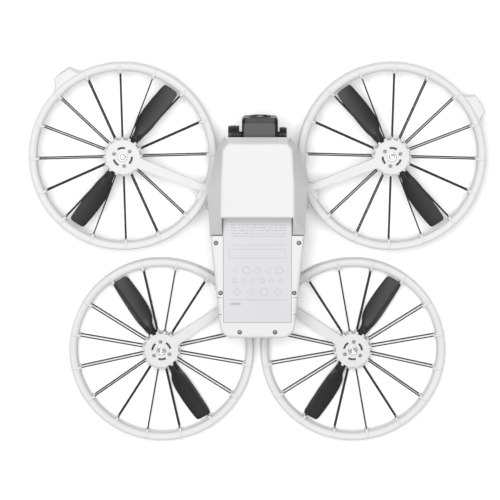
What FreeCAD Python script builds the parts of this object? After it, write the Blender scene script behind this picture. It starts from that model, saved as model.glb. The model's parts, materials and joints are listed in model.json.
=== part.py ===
"""Folding camera drone with four full-circle propeller guards.

Millimetres, +Z up, nose towards -Y, the drone's own left towards +X.
The origin lies on the ground under the middle of the unfolded drone.
Left-hand discs are modelled once; right-hand ones are their mirror images.
"""
import FreeCAD, Part
import math
import os
import re

V = FreeCAD.Vector
doc = FreeCAD.newDocument("FoldingDrone")
sheet = doc.addObject("Spreadsheet::Sheet", "Dims")

DIMENSIONS = {
    # clearances
    "play": 0.1, "slide_gap": 0.4, "overrun": 1.0,
    # guard ring
    "ring_radius": 57.0, "ring_height": 12.4, "ring_wall": 1.6, "lip_radius": 52.2,
    "lip_depth": 2.4, "lip_drop": 1.2, "rim_flat": 1.0,
    # hub centres of the open discs, and where they lie when folded under the body
    "front_hub_x": 81.5, "front_hub_y": -61.0, "front_hub_z": 21.7,
    "rear_hub_x": 59.2, "rear_hub_y": 61.0, "rear_hub_z": 6.2,
    "front_stowed_x": 25.0, "front_stowed_y": -24.5, "front_stowed_z": -35.8,
    "rear_stowed_x": 7.5, "rear_stowed_y": 17.0, "rear_stowed_z": -40.3,
    # hub plates, spokes and arm
    "hub_radius": 10.4, "hub_plate": 2.4, "lower_plate": 2.0, "boss_radius": 2.2,
    "spoke_radius": 0.4, "spoke_top": 4.6, "spoke_low": 4.5, "spoke_step": 22.5,
    "arm_wide": 3.3, "arm_narrow": 2.0, "arm_depth": 2.4, "arm_bite": 3.0,
    "slot_angle": 48.0, "slot_outer": 6.2, "slot_inner": 4.9,
    # motor
    "stator_radius": 7.4, "stator_low": 1.4, "stator_bore": 1.56, "coil_slot": 0.75,
    "bell_radius": 8.8, "bell_inner": 8.0, "bell_low": 3.8, "bell_top": 3.2, "bell_floor": 1.2,
    "shaft_radius": 1.5, "ear_reach": 16.4, "ear_width": 5.0, "ear_depth": 1.0,
    "pin_orbit": 14.0, "pin_radius": 1.0, "pin_head": 1.7, "pin_head_depth": 0.7,
    "screw_orbit": 5.5, "screw_radius": 1.2, "screw_depth": 1.6,
    # blades
    "blade_root": 15.1, "blade_tip": 50.6, "blade_chord": 12.2, "blade_thick": 1.1,
    "blade_level": -0.9, "blade_lead": 1.2,
    "eye_radius": 2.4, "eye_hole": 1.05, "eye_low": -2.7, "eye_high": 0.4,
    # fold hinges
    "knuckle_radius": 2.4, "hinge_bore": 0.9, "hinge_pin": 0.85, "knuckle_relief": 0.35,
    # feet on the front rings
    "foot_reach": 62.6, "foot_width": 12.8, "foot_depth": 4.0, "foot_shy": 1.5, "foot_bite": 0.8,
    # chassis tub
    "tub_front": -54.0, "body_rear": 44.7, "tub_low": 29.5, "tub_high": 42.0,
    "tub_half_front": 27.4, "tub_half_rear": 21.8, "tub_wall": 1.6, "tub_floor": 2.0,
    "corner": 8.0, "inner_corner": 6.0, "post_radius": 2.0, "post_x": 15.0,
    "post_front": -41.0, "post_rear": 25.0,
    "board_half": 18.0, "board_front": -45.0, "board_long": 74.0, "board_level": 36.0, "board_thick": 1.6,
    "sensor_radius": 4.0, "sensor_x": 7.0, "sensor_y": -17.0,
    # battery
    "battery_low": 42.3, "battery_high": 60.0, "battery_front": -17.4, "tongue_front": -42.0,
    "battery_half": 28.1, "tongue_half": 20.7, "battery_wall": 2.0, "battery_edge": 2.0,
    "label_front": -32.0, "label_rear": 34.9, "label_half": 20.2, "label_depth": 0.5,
    "body_screw": 1.35, "body_screw_depth": 2.4,
    "cell_half": 18.4, "cell_long": 76.0, "cell_high": 11.0, "cell_gap": 0.3,
    "button_radius": 4.0, "button_level": 50.5, "button_depth": 1.8, "button_sink": 1.4,
    "button_well": 2.5, "buckle_inner": 21.9, "buckle_reach": 2.2, "buckle_front": 20.0,
    "buckle_long": 10.0, "buckle_low": 46.0, "buckle_high": 9.0, "buckle_travel": 1.2,
    # head: plan outline at the split and at the top, from the nose to the tail
    "head_split": 60.4, "head_top": 79.0, "head_edge": 1.8,
    "bay_half": 19.4, "bay_rear": -54.0, "bay_top": 66.4,
    "hood_half": 21.1, "hood_front": -33.5, "hood_roof": 1.6,
    "pocket_half": 19.0, "pocket_wall": 1.6, "contact_half": 9.0, "contact_low": 44.0,
    "contact_high": 4.0, "contact_depth": 2.2,
    # camera and gimbal
    "tilt_y": -77.0, "tilt_z": 51.0, "camera_middle": -1.5, "camera_half": 10.7,
    "camera_high": 16.0, "camera_front": -88.0, "camera_rear": -66.0, "camera_corner": 2.4,
    "pivot_radius": 2.0, "lens_radius": 6.4, "lens_long": 4.0, "lens_proud": 0.6, "lens_rim": 1.4,
    "glass_depth": 1.0, "yaw_y": -62.0, "yaw_radius": 5.6, "yaw_high": 5.0,
    "stem_half": 4.0, "stem_depth": 2.0, "roll_radius": 5.0, "roll_depth": 2.4, "roll_step": 2.6,
    "fork_half": 17.4, "fork_thick": 2.0, "fork_high": 6.0, "fork_step": 0.9, "fork_back": 1.5,
    "tilt_motor_radius": 5.4, "tilt_motor_long": 4.6, "tilt_boss_radius": 4.4, "tilt_boss_long": 2.2,
}

# Each fold: the arm's bearing, stations of the knuckles along the hinge, the way from the hinge
# up to the body, and two blocks that carry the arm's knuckle, as their distances from the hub:
# (near, far, left, right, low, high).
FOLDS = {
    "front": dict(arm=159.0, arm_knuckle=(5.5, 11.5), body_knuckles=((2.2, 5.25), (11.75, 15.0)),
                  lug_up=V(-0.62, 0, 0.78), root=(50.7, 56.5, -3.5, 7.0, -1.0, 5.2),
                  neck=(55.2, 60.3, -2.4, 2.4, 0.2, 4.6)),
    "rear": dict(arm=215.0, arm_knuckle=(-27.0, -21.3), body_knuckles=((-30.6, -27.25), (-21.05, -18.0)),
                 lug_up=V(0.0, 0, 1.0), root=(51.0, 56.9, -12.4, 3.0, 3.8, 6.2),
                 neck=(53.6, 58.0, -2.2, 2.2, 5.0, 11.4)),
}
BLADES = {"front": (55.0, 234.0), "rear": (121.5, 301.0)}
FEET = {("front", "left"): -54.0, ("front", "right"): -31.0}
SPOKES = 15
STATOR_SLOTS = 9
MOTOR_SCREWS = 3
BODY_SCREWS = ((24.7, -13.2), (22.0, 17.0), (10.6, 40.9))
HEAD_OUTLINE = ((17.4, -78.5), (24.2, -69.4), (29.8, -45.0), (28.4, -18.1))
CROWN_OUTLINE = ((17.6, -74.4), (20.4, -71.0), (21.2, -50.0), (21.5, -31.5))
HEAD_FOOT_SHRINK = 0.6
# Along the blade: share of the way from root to tip, share of the chord, pitch, share of the lead.
BLADE_SECTIONS = ((0.0, 0.32, 0, 0.0), (0.07, 0.40, 6, 0.0), (0.22, 1.0, 17, 1.0),
                  (0.55, 0.99, 13, 1.0), (0.93, 0.88, 9, 0.5), (1.0, 0.62, 8, 0.5))
PLACES = {}
PUBLISHED = []


def fill_sheet():
    """Write every dimension with its alias, one row each."""
    for row, (name, value) in enumerate(DIMENSIONS.items(), start=1):
        sheet.set("A%d" % row, name)
        sheet.set("B%d" % row, str(value))
        sheet.setAlias("B%d" % row, name)
    doc.recompute()


def cells(expression):
    """Turn each dimension's name into a reference to its cell."""
    return re.sub(r"[a-z_]{3,}", lambda word: "Dims." + word.group() if word.group() in DIMENSIONS
                  else word.group(), str(expression))


def size(name):
    return getattr(sheet, name)


def bind(thing, **properties):
    """Bind sizes of a primitive to the sheet."""
    for name, expression in properties.items():
        thing.setExpression(name.replace("__", "."), cells(expression))
    return thing


def move_to(thing, at):
    """Bind a primitive's corner or centre to the sheet."""
    PLACES[thing.Name] = at
    for letter, expression in zip("xyz", at):
        thing.setExpression("Placement.Base." + letter, cells(expression))
    return thing


def box(name, at, sizes):
    thing = doc.addObject("Part::Box", name)
    bind(thing, Length=sizes[0], Width=sizes[1], Height=sizes[2])
    return move_to(thing, at)


def cylinder(name, radius, height, at=(0, 0, 0), along="z"):
    thing = doc.addObject("Part::Cylinder", name)
    bind(thing, Radius=radius, Height=height)
    turns = {"z": FreeCAD.Rotation(), "y": FreeCAD.Rotation(V(1, 0, 0), -90),
             "x": FreeCAD.Rotation(V(0, 1, 0), 90)}
    thing.Placement = FreeCAD.Placement(V(), turns[along])
    return move_to(thing, at)


def cone(name, low_radius, high_radius, height, at):
    thing = doc.addObject("Part::Cone", name)
    bind(thing, Radius1=low_radius, Radius2=high_radius, Height=height)
    return move_to(thing, at)


def taper(name, y_range, z_range, half_front, half_rear):
    """A block whose width changes from front to rear."""
    thing = doc.addObject("Part::Wedge", name)
    return bind(thing, Ymin=y_range[0], Ymax=y_range[1], Zmin=z_range[0], Zmax=z_range[1],
                Z2min=z_range[0], Z2max=z_range[1], Xmin="-(%s)" % half_front, Xmax=half_front,
                X2min="-(%s)" % half_rear, X2max=half_rear)


def join(name, things):
    thing = doc.addObject("Part::MultiFuse", name)
    thing.Shapes = things
    return thing


def cut(name, base, tools):
    thing = doc.addObject("Part::Cut", name)
    thing.Base = base
    thing.Tool = tools[0] if len(tools) == 1 else join(name + "_tools", tools)
    return thing


def group(name, things):
    thing = doc.addObject("Part::Compound", name)
    thing.Links = things
    return thing


def polar(thing, degrees):
    """Turn a bound primitive about the hub's own axis, keeping it bound to the sheet."""
    x, y, z = PLACES[thing.Name]
    turn = FreeCAD.Rotation(V(0, 0, 1), degrees)
    thing.Placement = FreeCAD.Placement(V(), turn.multiply(thing.Placement.Rotation))
    parts = dict(x=x, y=y, turn=degrees)
    return move_to(thing, ("(%(x)s) * cos(%(turn)s) - (%(y)s) * sin(%(turn)s)" % parts,
                           "(%(x)s) * sin(%(turn)s) + (%(y)s) * cos(%(turn)s)" % parts, z))


def rounded(name, base, radius, wanted):
    """Fillet those edges of base that pass the test wanted(edge)."""
    doc.recompute()
    thing = doc.addObject("Part::Fillet", name)
    thing.Base = base
    edges = enumerate(base.Shape.Edges, start=1)
    thing.Edges = [(index, size(radius), size(radius)) for index, edge in edges if wanted(edge)]
    return thing


def upright(edge):
    ends = edge.Vertexes
    return len(ends) == 2 and abs(ends[0].Point.z - ends[1].Point.z) > 0.8 * edge.Length


def rear_corner(edge):
    return upright(edge) and edge.CenterOfMass.y > 0.9 * size("body_rear")


def level_block(name, low_level, high_level, low_outline, high_outline):
    """A solid between two level outlines; each outline gives one side's (half width, y)."""
    wires = []
    for level, outline in ((low_level, low_outline), (high_level, high_outline)):
        right = [V(half, y, level) for half, y in outline]
        left = [V(-half, y, level) for half, y in reversed(outline)]
        wires.append(Part.makePolygon(right + left + right[:1]))
    thing = doc.addObject("Part::Feature", name)
    thing.Shape = Part.makeLoft(wires, True, True)
    return thing


def hinge_of(end):
    """A point and the direction of the one hinge that turns a flat disc on edge under the body.

    Turning level ground onto an upright plane needs an axis that leans equally in X and Z.
    How far it leans follows from the disc's way, which must be square to the axis.
    """
    start, stop = [V(*[size("%s_%s_%s" % (end, state, letter)) for letter in "xyz"])
                   for state in ("hub", "stowed")]
    way = stop - start
    lean = -way.y / (way.x + way.z)
    axis = V(lean, 1, lean).normalize()
    turn = math.acos((math.cos(2 * math.atan(lean)) - 1) / 2)
    return (start + stop) / 2 + axis.cross(way) / (2 * math.tan(turn / 2)), axis


class Disc:
    """One guard disc: ring, spokes, arm, motor and blades, about its own hub."""

    def __init__(self, end, side):
        self.end, self.side = end, side
        self.tag = end + "_" + side + "_"
        self.hub = V(size(end + "_hub_x"), size(end + "_hub_y"), size(end + "_hub_z"))
        self.fold = FOLDS[end]
        self.hinge, self.axis = hinge_of(end)

    def name(self, text):
        return self.tag + text

    def place(self, node, thing):
        """Set a piece at its hub, mirrored when it belongs to the right side."""
        doc.recompute()
        thing.Placement = FreeCAD.Placement(self.hub, FreeCAD.Rotation()).multiply(thing.Placement)
        if self.side == "right":
            mirror = doc.addObject("Part::Mirroring", self.tag + node + "_mirror")
            mirror.Source, mirror.Normal, mirror.Base = thing, V(1, 0, 0), V()
            thing = mirror
        return publish(self.tag + node, thing)

    def along_hinge(self, name, radius, start, stop):
        """A cylinder about the fold axis between two stations, in the disc's own frame."""
        rod = doc.addObject("Part::Cylinder", self.name(name))
        bind(rod, Radius=radius)
        rod.Height = stop - start
        base = self.hinge - self.hub + self.axis * start
        rod.Placement = FreeCAD.Placement(base, FreeCAD.Rotation(V(0, 0, 1), self.axis))
        return rod

    def block(self, name, sizes, bearing):
        """A box given by its near, far, left, right, low and high faces, then turned."""
        near, far, left, right, low, high = sizes
        return polar(box(self.name(name), (near, left, low), (far - near, right - left, high - low)),
                     bearing)

    def strut(self):
        """The arm's tapering bar, from under the hub plate to the ring."""
        low, high = "ring_height / 2 - arm_depth", "ring_height / 2"
        bar = doc.addObject("Part::Wedge", self.name("strut"))
        bind(bar, Ymin="hub_radius - arm_bite", Ymax="ring_radius - ring_wall", Zmin=low, Zmax=high,
             Z2min=low, Z2max=high, Xmin="-arm_wide", Xmax="arm_wide", X2min="-arm_narrow",
             X2max="arm_narrow")
        bar.Placement = FreeCAD.Placement(V(), FreeCAD.Rotation(V(0, 0, 1), self.fold["arm"] - 90))
        return bar

    def arm_parts(self):
        start, stop = self.fold["arm_knuckle"]
        middle = self.hinge - self.hub + self.axis * ((start + stop) / 2)
        bearing = math.degrees(math.atan2(middle.y, middle.x))
        plate = cylinder(self.name("plate"), "hub_radius", "hub_plate",
                         (0, 0, "ring_height / 2 - hub_plate"))
        return [self.strut(), plate, self.block("root", self.fold["root"], bearing),
                self.block("neck", self.fold["neck"], bearing),
                self.along_hinge("arm_knuckle", "knuckle_radius", start, stop)]

    def arc_slot(self, index):
        """A curved window in the hub plate, through which the windings show."""
        sector = cylinder(self.name("sector%d" % index), "slot_outer", "ring_height")
        bind(sector, Angle="slot_angle")
        polar(sector, self.fold["arm"] - size("slot_angle") / 2 + 120 * index)
        return cut(self.name("arc%d" % index), sector,
                   [cylinder(self.name("arc_core%d" % index), "slot_inner", "ring_height")])

    def screw_places(self):
        return [self.fold["arm"] + 60 + 360 / MOTOR_SCREWS * index for index in range(MOTOR_SCREWS)]

    def arm(self):
        first, last = self.fold["arm_knuckle"]
        cuts = [cylinder(self.name("boss_bore"), "stator_bore", "ring_height", (0, 0, "-overrun")),
                self.along_hinge("arm_bore", "hinge_bore", 2 * first - last, 2 * last - first)]
        for index, (start, stop) in enumerate(self.fold["body_knuckles"]):
            cuts.append(self.along_hinge("relief%d" % index, "knuckle_radius + knuckle_relief",
                                         start - size("play"), stop + size("play")))
        for index, angle in enumerate(self.screw_places()):
            cuts.append(self.arc_slot(index))
            hole = cylinder(self.name("hole%d" % index), "screw_radius", "ring_height",
                            ("screw_orbit", 0, 0))
            cuts.append(polar(hole, angle))
        return cut(self.name("arm_cut"), join(self.name("arm_body"), self.arm_solids), cuts)

    def ring_profile(self):
        """The ring's outer drum and the cuts that leave a channel between two flared lips."""
        half = "ring_height / 2"
        outer = cylinder(self.name("outer"), "ring_radius", "ring_height", (0, 0, "-" + half))
        bore = cylinder(self.name("bore"), "lip_radius", "ring_height + 2 * overrun",
                        (0, 0, "-ring_height / 2 - overrun"))
        channel = cylinder(self.name("channel"), "ring_radius - ring_wall",
                           "ring_height - 2 * lip_depth", (0, 0, "lip_depth - " + half))
        top = cone(self.name("top_mouth"), "lip_radius", "ring_radius - rim_flat", "lip_drop",
                   (0, 0, half + " - lip_drop"))
        low = cone(self.name("low_mouth"), "ring_radius - rim_flat", "lip_radius", "lip_drop",
                   (0, 0, "-" + half))
        return outer, [bore, channel, top, low]

    def foot(self):
        """The tab on a front ring and its tapering leg down to the ground."""
        angle = FEET[(self.end, self.side)]
        tab = box(self.name("tab"), ("ring_radius - foot_bite", "-foot_width / 2", "-ring_height / 2"),
                  ("foot_reach - ring_radius + foot_bite", "foot_width", "ring_height - foot_shy"))
        leg = doc.addObject("Part::Wedge", self.name("leg"))
        bind(leg, Ymin=0, Ymax="%s_hub_z - ring_height / 2 + overrun" % self.end,
             Xmin="-foot_width / 4", Xmax="foot_width / 4",
             X2min="-foot_width / 2", X2max="foot_width / 2",
             Zmin=0, Zmax="foot_depth", Z2min=0, Z2max="foot_depth")
        stand = FreeCAD.Rotation(V(0, 1, 0), V(0, 0, 1), V(1, 0, 0), "ZXY")
        leg.Placement = FreeCAD.Placement(V(), stand)
        move_to(leg, ("foot_reach - foot_depth", 0, "-%s_hub_z" % self.end))
        return [polar(tab, angle), polar(leg, angle)]

    def ring(self):
        outer, cuts = self.ring_profile()
        if (self.end, self.side) in FEET:
            outer = join(self.name("footed"), [outer] + self.foot())
        hollow = cut(self.name("ring_hollow"), outer, cuts)
        return cut(self.name("ring_cut"), hollow, self.arm_solids)

    def spokes(self, layer, level):
        rods = []
        for index in range(1, SPOKES + 1):
            rod = cylinder(self.name("%s%d" % (layer, index)), "spoke_radius",
                           "lip_radius - hub_radius", ("hub_radius", 0, level), "x")
            rods.append(polar(rod, self.fold["arm"] + index * size("spoke_step")))
        return group(self.name(layer + "_set"), rods)

    def lower_hub(self):
        """The lower plate, with the flat stay that takes the sixteenth spoke's place."""
        low = "-ring_height / 2"
        plate = cylinder(self.name("low_plate"), "hub_radius", "lower_plate", (0, 0, low))
        stay = box(self.name("low_stay"),
                   ("hub_radius - overrun", "-spoke_radius * 2", "-spoke_low - spoke_radius"),
                   ("lip_radius - hub_radius + overrun - play", "spoke_radius * 4", "spoke_radius * 2"))
        bore = cylinder(self.name("low_bore"), "boss_radius", "lower_plate + 2 * overrun",
                        (0, 0, low + " - overrun"))
        body = join(self.name("low_body"), [plate, polar(stay, self.fold["arm"])])
        return cut(self.name("low_cut"), body, [bore])

    def stator(self):
        top = "ring_height / 2 - hub_plate"
        core = cylinder(self.name("core"), "stator_radius", top + " + stator_low", (0, 0, "-stator_low"))
        cuts = [cylinder(self.name("stator_hole"), "stator_bore", "ring_height * 2",
                         (0, 0, "-ring_height"))]
        step = 360 / STATOR_SLOTS
        for index in range(STATOR_SLOTS):
            slot = cylinder(self.name("coil%d" % index), "coil_slot", "ring_height",
                            ("stator_radius", 0, "-stator_low - overrun"))
            cuts.append(polar(slot, step * index + self.fold["arm"]))
        for index, angle in enumerate(self.screw_places()):
            hole = cylinder(self.name("tap%d" % index), "screw_radius", "ring_height",
                            ("screw_orbit", 0, top + " - screw_depth"))
            cuts.append(polar(hole, angle))
        return cut(self.name("stator_cut"), core, cuts)

    def motor_screws(self):
        screws = []
        for index, angle in enumerate(self.screw_places()):
            screw = cylinder(self.name("screw%d" % index), "screw_radius", "hub_plate + screw_depth",
                             ("screw_orbit", 0, "ring_height / 2 - hub_plate - screw_depth"))
            screws.append(polar(screw, angle))
        return group(self.name("screw_set"), screws)

    def bell(self):
        """The rotor: cup, shaft, and an ear with a headed pin for each blade."""
        cup = cylinder(self.name("cup"), "bell_radius", "bell_low + bell_top", (0, 0, "-bell_low"))
        well = cylinder(self.name("well"), "bell_inner", "bell_low + bell_top",
                        (0, 0, "bell_floor - bell_low"))
        shaft = cylinder(self.name("shaft"), "shaft_radius", "bell_low + ring_height / 2",
                         (0, 0, "-bell_low"))
        pieces = [cut(self.name("cup_cut"), cup, [well]), shaft]
        for index, angle in enumerate(BLADES[self.end]):
            ear = box(self.name("ear%d" % index), ("bell_inner", "-ear_width / 2", "-bell_low"),
                      ("ear_reach - bell_inner", "ear_width", "ear_depth"))
            pin = cylinder(self.name("pin%d" % index), "pin_radius", "bell_low + eye_high + pin_head_depth",
                           ("pin_orbit", 0, "-bell_low"))
            head = cylinder(self.name("head%d" % index), "pin_head", "pin_head_depth",
                            ("pin_orbit", 0, "eye_high + play"))
            pieces += [polar(ear, angle), polar(pin, angle), polar(head, angle)]
        return join(self.name("bell_body"), pieces)

    def blade_section(self, radius, chord, pitch, lead):
        """One closed section of the blade, square to the span: a thin lens, fuller in front."""
        across = V(0, math.cos(math.radians(pitch)), math.sin(math.radians(pitch)))
        up = V(0, -across.z, across.y)
        middle = V(radius, lead, size("blade_level"))
        half, thick = chord / 2, size("blade_thick") / 2
        shares = ((-1, 0), (-0.4, 1), (0.5, 1), (1, 0), (0.5, -1), (-0.4, -1))
        corners = [middle + across * (half * along) + up * (thick * rise) for along, rise in shares]
        return Part.makePolygon(corners + corners[:1])

    def blade(self, angle):
        """A twisted blade: round eye, narrow neck, wide shoulder, square tip."""
        root, tip, chord = size("blade_root"), size("blade_tip"), size("blade_chord")
        hand = 1 if self.end == "front" else -1
        wires = [self.blade_section(root + (tip - root) * way, chord * width, -hand * pitch,
                                    hand * size("blade_lead") * lead)
                 for way, width, pitch, lead in BLADE_SECTIONS]
        low, depth = size("eye_low"), size("eye_high") - size("eye_low")
        eye = Part.makeCylinder(size("eye_radius"), depth, V(size("pin_orbit"), 0, low))
        hole = Part.makeCylinder(size("eye_hole"), 3 * depth, V(size("pin_orbit"), 0, low - depth))
        thing = doc.addObject("Part::Feature", self.name("blade_%d" % round(angle)))
        thing.Shape = Part.makeLoft(wires, True, True).fuse(eye).cut(hole)
        thing.Placement = FreeCAD.Placement(V(), FreeCAD.Rotation(V(0, 0, 1), angle))
        return thing

    def build(self):
        self.arm_solids = self.arm_parts()
        self.place("arm", self.arm())
        self.place("guard_ring", self.ring())
        self.place("upper_spokes", self.spokes("upper", "spoke_top"))
        self.place("lower_spokes", self.spokes("lower", "-spoke_low"))
        self.place("lower_hub", self.lower_hub())
        self.place("motor_stator", self.stator())
        self.place("motor_screws", self.motor_screws())
        self.place("motor_bell", self.bell())
        for letter, angle in zip("ab", BLADES[self.end]):
            self.place("blade_" + letter, self.blade(angle))


def mirrored(vector, side):
    return V(side * vector.x, vector.y, vector.z)


def knuckle(end, name, radius, start, stop, side):
    """A rod about a fold axis in the drone's own frame; side is -1 on the right."""
    hinge, axis = hinge_of(end)
    rod = doc.addObject("Part::Cylinder", "%s_%s" % (end, name))
    bind(rod, Radius=radius)
    rod.Height = stop - start
    rod.Placement = FreeCAD.Placement(mirrored(hinge + axis * start, side),
                                      FreeCAD.Rotation(V(0, 0, 1), mirrored(axis, side)))
    return rod


def lug(end, start, stop, side):
    """The web that carries one body knuckle up into the tub's floor."""
    hinge, axis = hinge_of(end)
    point = hinge + axis * start
    up = FOLDS[end]["lug_up"] - axis * FOLDS[end]["lug_up"].dot(axis)
    up.normalize()
    half = 0.9 * size("knuckle_radius")
    web = doc.addObject("Part::Box", end + "_lug")
    web.Length, web.Height = 2 * half, stop - start
    web.Width = (size("tub_low") + size("tub_floor") / 2 - point.z) / up.z
    point, up, axis = [mirrored(vector, side) for vector in (point, up, axis)]
    across = up.cross(axis)
    web.Placement = FreeCAD.Placement(point - across * half, FreeCAD.Rotation(across, up, axis, "ZYX"))
    return web


def hinge_parts():
    """The body's half of each fold hinge: knuckles on lugs, and the bores through them."""
    solids, bores = [], []
    for end in FOLDS:
        first, last = FOLDS[end]["body_knuckles"]
        for side in (1, -1):
            for start, stop in (first, last):
                solids.append(knuckle(end, "knuckle", "knuckle_radius", start, stop, side))
                solids.append(lug(end, start, stop, side))
            bores.append(knuckle(end, "bore", "hinge_bore", first[0] - 1, last[1] + 1, side))
    return solids, bores


def chassis():
    tub = rounded("tub_round", taper("tub", ("tub_front", "body_rear"), ("tub_low", "tub_high"),
                                     "tub_half_front", "tub_half_rear"), "corner", rear_corner)
    well = taper("tub_well", ("tub_front + tub_wall", "body_rear - tub_wall"),
                 ("tub_low + tub_floor", "tub_high + overrun"),
                 "tub_half_front - tub_wall", "tub_half_rear - tub_wall")
    well = rounded("well_round", well, "inner_corner", rear_corner)
    solids, bores = hinge_parts()
    hollow = cut("tub_hollow", join("tub_whole", [tub] + solids), [well] + bores)
    posts = [cylinder("post", "post_radius", "board_level - tub_low - overrun", (x, y, "tub_low + overrun"))
             for x in ("-post_x", "post_x") for y in ("post_front", "post_rear")]
    eyes = [cylinder("eye", "sensor_radius", "tub_floor + 2 * overrun",
                     (x, "sensor_y", "tub_low - overrun")) for x in ("-sensor_x", "sensor_x")]
    publish("chassis_tub", cut("chassis_cut", join("chassis_body", [hollow] + posts), eyes))


def chassis_fittings():
    publish("downward_sensor_lenses", group("lens_pair", [
        cylinder("lens", "sensor_radius", "tub_floor", (x, "sensor_y", "tub_low"))
        for x in ("-sensor_x", "sensor_x")]))
    publish("main_board", box("board", ("-board_half", "board_front", "board_level"),
                              ("board_half * 2", "board_long", "board_thick")))
    publish("hinge_pins", group("pin_set", [
        knuckle(end, "pin", "hinge_pin", FOLDS[end]["body_knuckles"][0][0],
                FOLDS[end]["body_knuckles"][1][1], side) for end in FOLDS for side in (1, -1)]))


def battery_body():
    """The wide rear block and the tongue that reaches forward under the head's hood."""
    case = taper("case", ("battery_front", "body_rear"), ("battery_low", "battery_high"),
                 "battery_half", "tub_half_rear")
    case = rounded("case_round", case, "corner", rear_corner)
    case = rounded("case_soft", case, "battery_edge",
                   lambda edge: edge.CenterOfMass.y > size("battery_front") / 2
                   and edge.BoundBox.ZMin > size("battery_high") - size("play"))
    tongue = box("tongue", ("-tongue_half", "tongue_front", "battery_low"),
                 ("tongue_half * 2", "battery_front - tongue_front + overrun", "battery_high - battery_low"))
    return join("case_body", [case, tongue])


def battery_screws():
    """Screws and the holes they fill, three down each side."""
    screws, holes = [], []
    for x, y in BODY_SCREWS:
        for sign in (-1, 1):
            at = (sign * x, y, "battery_high - body_screw_depth")
            screws.append(cylinder("screw", "body_screw", "body_screw_depth", at))
            holes.append(cylinder("screw_hole", "body_screw", "body_screw_depth + overrun", at))
    publish("battery_screws", group("screw_set", screws))
    return holes


def buckles():
    """The two release buckles and the pockets they sink into."""
    pockets = []
    for name, inner, deep in (("left", "buckle_inner", "buckle_inner - buckle_travel"),
                              ("right", "-buckle_inner - buckle_reach", "-buckle_inner - 2 * buckle_reach")):
        pockets.append(box("pocket_" + name, (deep, "buckle_front - 2 * play", "buckle_low - 2 * play"),
                           ("buckle_travel + 2 * buckle_reach", "buckle_long + 4 * play",
                            "buckle_high + 4 * play")))
        publish("buckle_" + name, box("buckle", (inner, "buckle_front", "buckle_low"),
                                      ("buckle_reach", "buckle_long", "buckle_high")))
    return pockets


def battery():
    cell_floor = "battery_low + battery_wall"
    cavity = box("cavity", ("-cell_half", "tongue_front + battery_wall", cell_floor),
                 ("cell_half * 2", "cell_long + 2 * overrun", "cell_high"))
    label_at = ("-label_half", "label_front", "battery_high - label_depth")
    label_size = ("label_half * 2", "label_rear - label_front", "label_depth")
    seat = box("label_seat", label_at, label_size[:2] + ("label_depth + overrun",))
    button_well = cylinder("button_well", "button_radius + play", "button_well + overrun",
                           (0, "body_rear - button_well", "button_level"), "y")
    publish("battery_case", cut("case_cut", battery_body(),
                                [cavity, seat, button_well] + battery_screws() + buckles()))
    publish("battery_cells", group("cell_pair", [
        box("cell", (start, "tongue_front + battery_wall + overrun", cell_floor),
            ("cell_half - 2 * cell_gap", "cell_long", "cell_high - overrun"))
        for start in ("-cell_half + cell_gap", "cell_gap")]))
    publish("marking_plate", box("plate", label_at, label_size))
    publish("power_button", cylinder("button", "button_radius", "button_depth",
                                     (0, "body_rear - button_sink", "button_level"), "y"))


def head():
    """The hood over the camera bay and the battery's tongue."""
    foot_outline = [(half - HEAD_FOOT_SHRINK, y) for half, y in HEAD_OUTLINE]
    base = level_block("head_base", size("tub_high"), size("head_split"), foot_outline, HEAD_OUTLINE)
    crown = level_block("crown", size("head_split"), size("head_top"), HEAD_OUTLINE, CROWN_OUTLINE)
    soft = rounded("crown_soft", crown, "head_edge", lambda edge: edge.BoundBox.ZMax > size("head_top")
                   - size("play") and edge.BoundBox.YMin < HEAD_OUTLINE[2][1])
    floor = "tub_high - overrun"
    cuts = [box("bay", ("-bay_half", "camera_front", floor),
                ("bay_half * 2", "bay_rear - camera_front", "bay_top - tub_high + overrun")),
            box("battery_slot", ("-hood_half", "tongue_front - slide_gap", floor),
                ("hood_half * 2", "body_rear", "head_split - tub_high + overrun")),
            box("hood_mouth", ("-hood_half", "hood_front", "head_split"),
                ("hood_half * 2", "body_rear", "head_top - head_split - hood_roof")),
            box("pocket", ("-pocket_half", "bay_rear + pocket_wall", floor),
                ("pocket_half * 2", "tongue_front - bay_rear - pocket_wall - contact_depth - slide_gap",
                 "head_split - tub_high + overrun"))]
    contacts_at = ("-contact_half", "tongue_front - slide_gap - contact_depth", "contact_low")
    contacts_size = ("contact_half * 2", "contact_depth", "contact_high")
    cuts.append(box("contact_seat", contacts_at, contacts_size))
    publish("head_shell", cut("head_cut", join("head_whole", [base, soft]), cuts))
    publish("battery_contacts", box("contacts", contacts_at, contacts_size))


def gimbal():
    """Yaw motor and bracket, then the fork that carries the camera's tilt motor."""
    publish("gimbal_yaw_bracket", join("yaw_body", [
        cylinder("yaw_motor", "yaw_radius", "yaw_high", (0, "yaw_y", "bay_top - yaw_high")),
        box("yaw_stem", ("-stem_half", "yaw_y + roll_step + slide_gap", "tilt_z - stem_half"),
            ("stem_half * 2", "stem_depth", "bay_top - tilt_z + stem_half - overrun")),
        cylinder("roll_motor", "roll_radius", "roll_depth", (0, "yaw_y + roll_step", "tilt_z"), "y")]))
    low = "tilt_z - fork_high / 2"
    fork = [box("fork_back", ("-fork_half", "yaw_y + fork_step", low),
                ("fork_half * 2", "fork_back", "fork_high"))]
    for start in ("-fork_half", "fork_half - fork_thick"):
        fork.append(box("fork_arm", (start, "tilt_y", low),
                        ("fork_thick", "yaw_y + fork_step - tilt_y + overrun", "fork_high")))
    for name, radius, long, start in (
            ("tilt_motor", "tilt_motor_radius", "tilt_motor_long + fork_thick",
             "fork_half - fork_thick - tilt_motor_long"),
            ("tilt_boss", "tilt_boss_radius", "tilt_boss_long + fork_thick", "-fork_half")):
        fork.append(cylinder(name, radius, long, (start, "tilt_y", "tilt_z"), "x"))
    publish("gimbal_roll_fork", join("fork_body", fork))


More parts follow.
